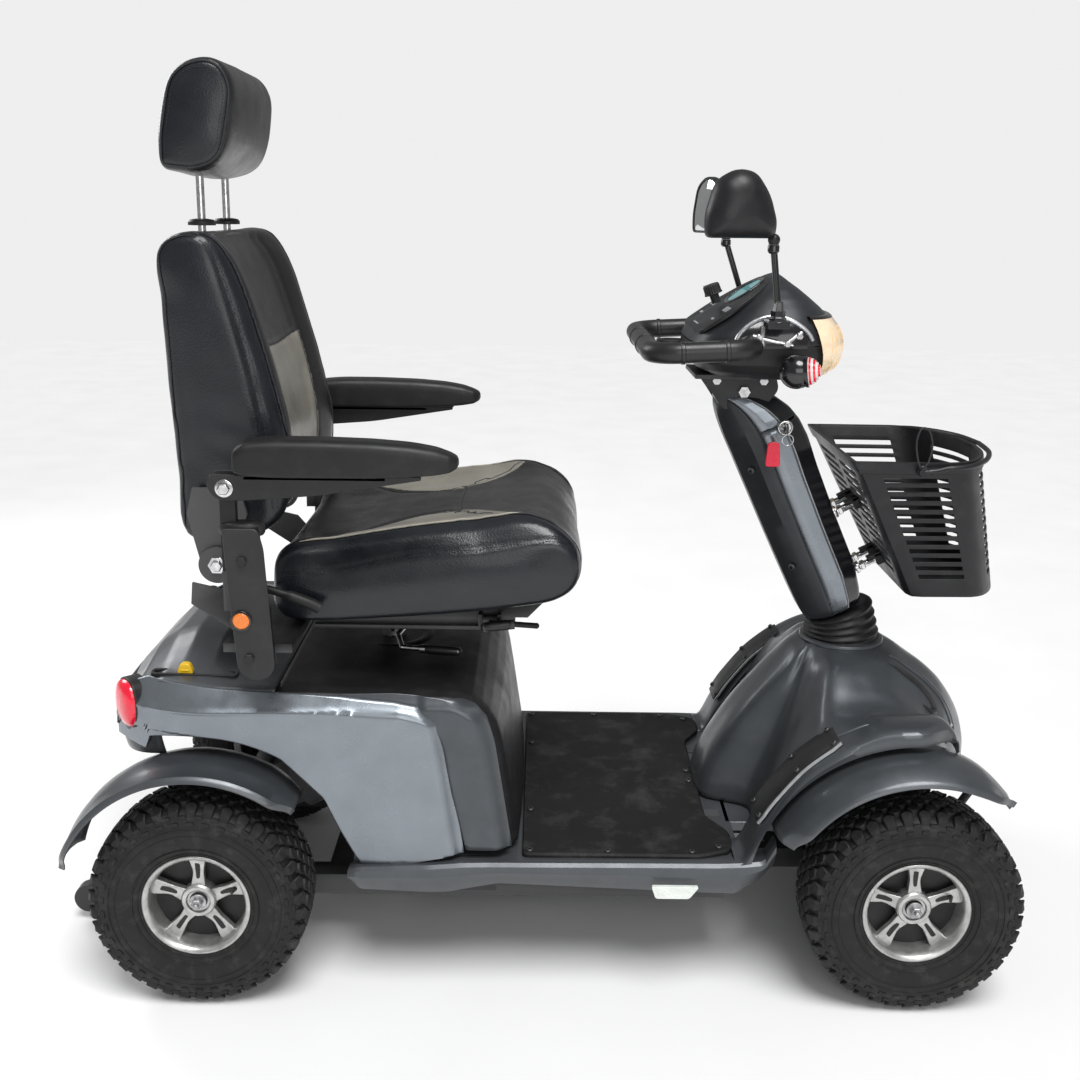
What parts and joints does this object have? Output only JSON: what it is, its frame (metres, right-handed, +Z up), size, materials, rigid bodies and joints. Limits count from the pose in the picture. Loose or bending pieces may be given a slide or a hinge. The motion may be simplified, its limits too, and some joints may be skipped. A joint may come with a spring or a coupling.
{
  "type": "mobility scooter",
  "caption": "Four-wheel mobility scooter with a swivelling captain's seat, armrests, headrest, tilting tiller with closed handlebar loop, mirrors, front basket and mudguards.",
  "frame": {"origin": "on the ground, under the middle of the scooter's length and width", "axes": "+X forwards, +Y to the rider's left, +Z up"},
  "size_m": [1.556, 0.69, 1.418],
  "materials": {
    "frame_black": "satin black powder coat",
    "battery_case": "moulded case",
    "control_alloy": "cast",
    "drive_casting": "rough cast",
    "dark_plastic": "semi-gloss metallic dark grey",
    "silver_plastic": "semi-gloss metallic silver-blue",
    "black_plastic": "fine grain",
    "mat_rubber": "grained floor mat, dusty",
    "screw_black": "black zinc",
    "reflector_white": "honeycomb reflector",
    "lamp_red": "clear red lens",
    "lever_yellow": "gloss",
    "tyre_rubber": "block tread",
    "rim_alloy": "cast, weathered lacquer",
    "bright_steel": "bright, slightly worn",
    "post_steel": "worn zinc",
    "bellows_rubber": "dusty ribbed rubber",
    "key_red": "gloss",
    "display_glass": "clear window over a pale display",
    "lamp_amber": "clear ribbed lens with amber edge",
    "grip_rubber": "moulded foam grip",
    "gloss_black": "gloss",
    "leather_navy": "grained navy-black leather"
  },
  "bodies": {
    "chassis": {"main_frame": "frame_black", "batteries": "battery_case", "control_box": "control_alloy", "transaxle": "drive_casting", "floor_pan": "dark_plastic", "floor_mat": "mat_rubber", "panel_screws": "screw_black", "sill_reflectors": "reflector_white", "rear_body_shell": "silver_plastic", "seat_base_cover": "black_plastic", "corner_panels": "dark_plastic", "tail_lamps": "lamp_red", "front_shroud": "dark_plastic", "kick_panels": "black_plastic", "fenders": "dark_plastic"},
    "freewheel": {"freewheel_lever": "lever_yellow"},
    "wheel_front_left": {"tyre_front_left": "tyre_rubber", "rim_front_left": "rim_alloy"},
    "wheel_front_right": {"tyre_front_right": "tyre_rubber", "rim_front_right": "rim_alloy"},
    "wheel_rear_left": {"tyre_rear_left": "tyre_rubber", "rim_rear_left": "rim_alloy"},
    "wheel_rear_right": {"tyre_rear_right": "tyre_rubber", "rim_rear_right": "rim_alloy"},
    "steer_knuckle_left": {"knuckle_left": "frame_black"},
    "steer_knuckle_right": {"knuckle_right": "frame_black"},
    "stem": {"steering_stem": "frame_black", "bellows": "bellows_rubber"},
    "linkage": {"track_rod": "post_steel"},
    "tip_wheels": {"anti_tip_wheels": "black_plastic"},
    "tiller": {"tiller_tube": "frame_black", "tiller_cover": "dark_plastic", "tiller_trim": "silver_plastic", "key_switch": "bright_steel", "head_bracket": "frame_black", "console_shell": "dark_plastic", "display": "display_glass", "front_lamps": "lamp_amber", "handlebar_loop": "grip_rubber", "mirror_stalks": "gloss_black"},
    "ignition_key": {"key": "key_red"},
    "dial": {"speed_dial": "black_plastic"},
    "thumb_lever": {"throttle_lever": "black_plastic"},
    "mirror_l": {"mirror_left": "gloss_black"},
    "mirror_r": {"mirror_right": "gloss_black"},
    "front_basket": {"basket": "black_plastic"},
    "carry_handle": {"basket_handle": "black_plastic"},
    "seat_column": {"seat_post": "post_steel"},
    "seat_swivel_base": {"seat_rails": "frame_black"},
    "seat": {"seat_frame": "frame_black", "seat_cushion": "leather_navy"},
    "backrest": {"back_frame": "frame_black", "backrest_cushion": "leather_navy"},
    "arm_left": {"armrest_left": "black_plastic"},
    "arm_right": {"armrest_right": "black_plastic"},
    "headrest": {"headrest_posts": "bright_steel", "headrest_pad": "leather_navy"},
    "swivel_release": {"swivel_lever": "bright_steel"},
    "slide_release": {"slide_lever": "frame_black"},
    "recline_release": {"recline_lever": "black_plastic"}
  },
  "joints": [
    {"name": "front_left_spin", "type": "hinge", "parent": "steer_knuckle_left", "child": "wheel_front_left", "pos_m": [0.599, 0.282, 0.17], "axis": [0, 1, 0], "continuous": true},
    {"name": "front_right_spin", "type": "hinge", "parent": "steer_knuckle_right", "child": "wheel_front_right", "pos_m": [0.599, -0.282, 0.17], "axis": [0, 1, 0], "continuous": true},
    {"name": "rear_left_spin", "type": "hinge", "parent": "chassis", "child": "wheel_rear_left", "pos_m": [-0.499, 0.282, 0.17], "axis": [0, 1, 0], "continuous": true},
    {"name": "rear_right_spin", "type": "hinge", "parent": "chassis", "child": "wheel_rear_right", "pos_m": [-0.499, -0.282, 0.17], "axis": [0, 1, 0], "continuous": true},
    {"name": "steer", "type": "hinge", "parent": "chassis", "child": "stem", "pos_m": [0.54, 0, 0.3], "axis": [0, 0, 1], "range_deg": [-26, 26]},
    {"name": "knuckle_left_turn", "type": "hinge", "parent": "chassis", "child": "steer_knuckle_left", "pos_m": [0.599, 0.212, 0.17], "axis": [0, 0, 1], "range_deg": [-27, 27]},
    {"name": "knuckle_right_turn", "type": "hinge", "parent": "chassis", "child": "steer_knuckle_right", "pos_m": [0.599, -0.212, 0.17], "axis": [0, 0, 1], "range_deg": [-27, 27]},
    {"name": "track_rod_turn", "type": "hinge", "parent": "stem", "child": "linkage", "pos_m": [0.47, 0, 0.143], "axis": [0, 0, 1], "range_deg": [-27, 27]},
    {"name": "tiller_tilt", "type": "hinge", "parent": "stem", "child": "tiller", "pos_m": [0.54, 0, 0.515], "axis": [0, 1, 0], "range_deg": [-8, 20], "deforming": ["bellows"]},
    {"name": "tip_wheel_spin", "type": "hinge", "parent": "chassis", "child": "tip_wheels", "pos_m": [-0.753, 0, 0.04], "axis": [0, 1, 0], "continuous": true},
    {"name": "freewheel_slide", "type": "slide", "parent": "chassis", "child": "freewheel", "axis": [1, 0, 0], "range_m": [0, 0.045]},
    {"name": "key_turn", "type": "hinge", "parent": "tiller", "child": "ignition_key", "pos_m": [0.41016, -0.06, 0.87153], "axis": [0, -1, 0], "range_deg": [0, 70]},
    {"name": "dial_turn", "type": "hinge", "parent": "tiller", "child": "dial", "pos_m": [0.296, 0, 1.076], "axis": [-0.3584, 0, 0.9336], "range_deg": [-135, 135]},
    {"name": "thumb_lever_turn", "type": "hinge", "parent": "tiller", "child": "thumb_lever", "pos_m": [0.3, 0, 0.992], "axis": [0, 0, 1], "range_deg": [-6, 6], "stiffness_Nm_per_rad": 0.6},
    {"name": "mirror_left_turn", "type": "hinge", "parent": "tiller", "child": "mirror_l", "pos_m": [0.336, 0.168, 1.165], "axis": [0, 0, 1], "range_deg": [-30, 58]},
    {"name": "mirror_right_turn", "type": "hinge", "parent": "tiller", "child": "mirror_r", "pos_m": [0.356, -0.168, 1.165], "axis": [0, 0, 1], "range_deg": [-10, 60]},
    {"name": "basket_lift", "type": "slide", "parent": "tiller", "child": "front_basket", "axis": [-0.4226, 0, 0.9063], "range_m": [0, 0.08]},
    {"name": "carry_handle_swing", "type": "hinge", "parent": "front_basket", "child": "carry_handle", "pos_m": [0.602, 0, 0.826], "axis": [0, -1, 0], "range_deg": [0, 100]},
    {"name": "seat_height", "type": "slide", "parent": "chassis", "child": "seat_column", "axis": [0, 0, 1], "range_m": [0, 0.05]},
    {"name": "seat_swivel", "type": "hinge", "parent": "seat_column", "child": "seat_swivel_base", "pos_m": [-0.231, 0, 0.55], "axis": [0, 0, 1], "range_deg": [-90, 90]},
    {"name": "seat_slide", "type": "slide", "parent": "seat_swivel_base", "child": "seat", "axis": [1, 0, 0], "range_m": [-0.05, 0.05]},
    {"name": "backrest_recline", "type": "hinge", "parent": "seat", "child": "backrest", "pos_m": [-0.466, 0, 0.683], "axis": [0, 1, 0], "range_deg": [-25, 22]},
    {"name": "armrest_left_lift", "type": "hinge", "parent": "seat", "child": "arm_left", "pos_m": [-0.427, 0.311, 0.822], "axis": [0, -1, 0], "range_deg": [0, 95]},
    {"name": "armrest_right_lift", "type": "hinge", "parent": "seat", "child": "arm_right", "pos_m": [-0.427, -0.311, 0.822], "axis": [0, -1, 0], "range_deg": [0, 95]},
    {"name": "headrest_slide", "type": "slide", "parent": "backrest", "child": "headrest", "axis": [0, 0, 1], "range_m": [0, 0.06]},
    {"name": "swivel_release_lift", "type": "hinge", "parent": "seat_swivel_base", "child": "swivel_release", "pos_m": [-0.196, -0.03, 0.532], "axis": [-1, 0, 0], "range_deg": [0, 10], "stiffness_Nm_per_rad": 3, "springref_deg": -5.73},
    {"name": "slide_release_lift", "type": "hinge", "parent": "seat", "child": "slide_release", "pos_m": [-0.06, -0.15, 0.57], "axis": [-1, 0, 0], "range_deg": [0, 10], "stiffness_Nm_per_rad": 3, "springref_deg": -5.73},
    {"name": "recline_release_lift", "type": "hinge", "parent": "seat", "child": "recline_release", "pos_m": [-0.404, -0.255, 0.652], "axis": [0, -1, 0], "range_deg": [0, 20], "stiffness_Nm_per_rad": 3, "springref_deg": -5.73}
  ],
  "couplings": [
    {"joint": "knuckle_left_turn", "follows": "steer", "ratio": 1},
    {"joint": "knuckle_right_turn", "follows": "steer", "ratio": 1},
    {"joint": "track_rod_turn", "follows": "steer", "ratio": -1}
  ]
}
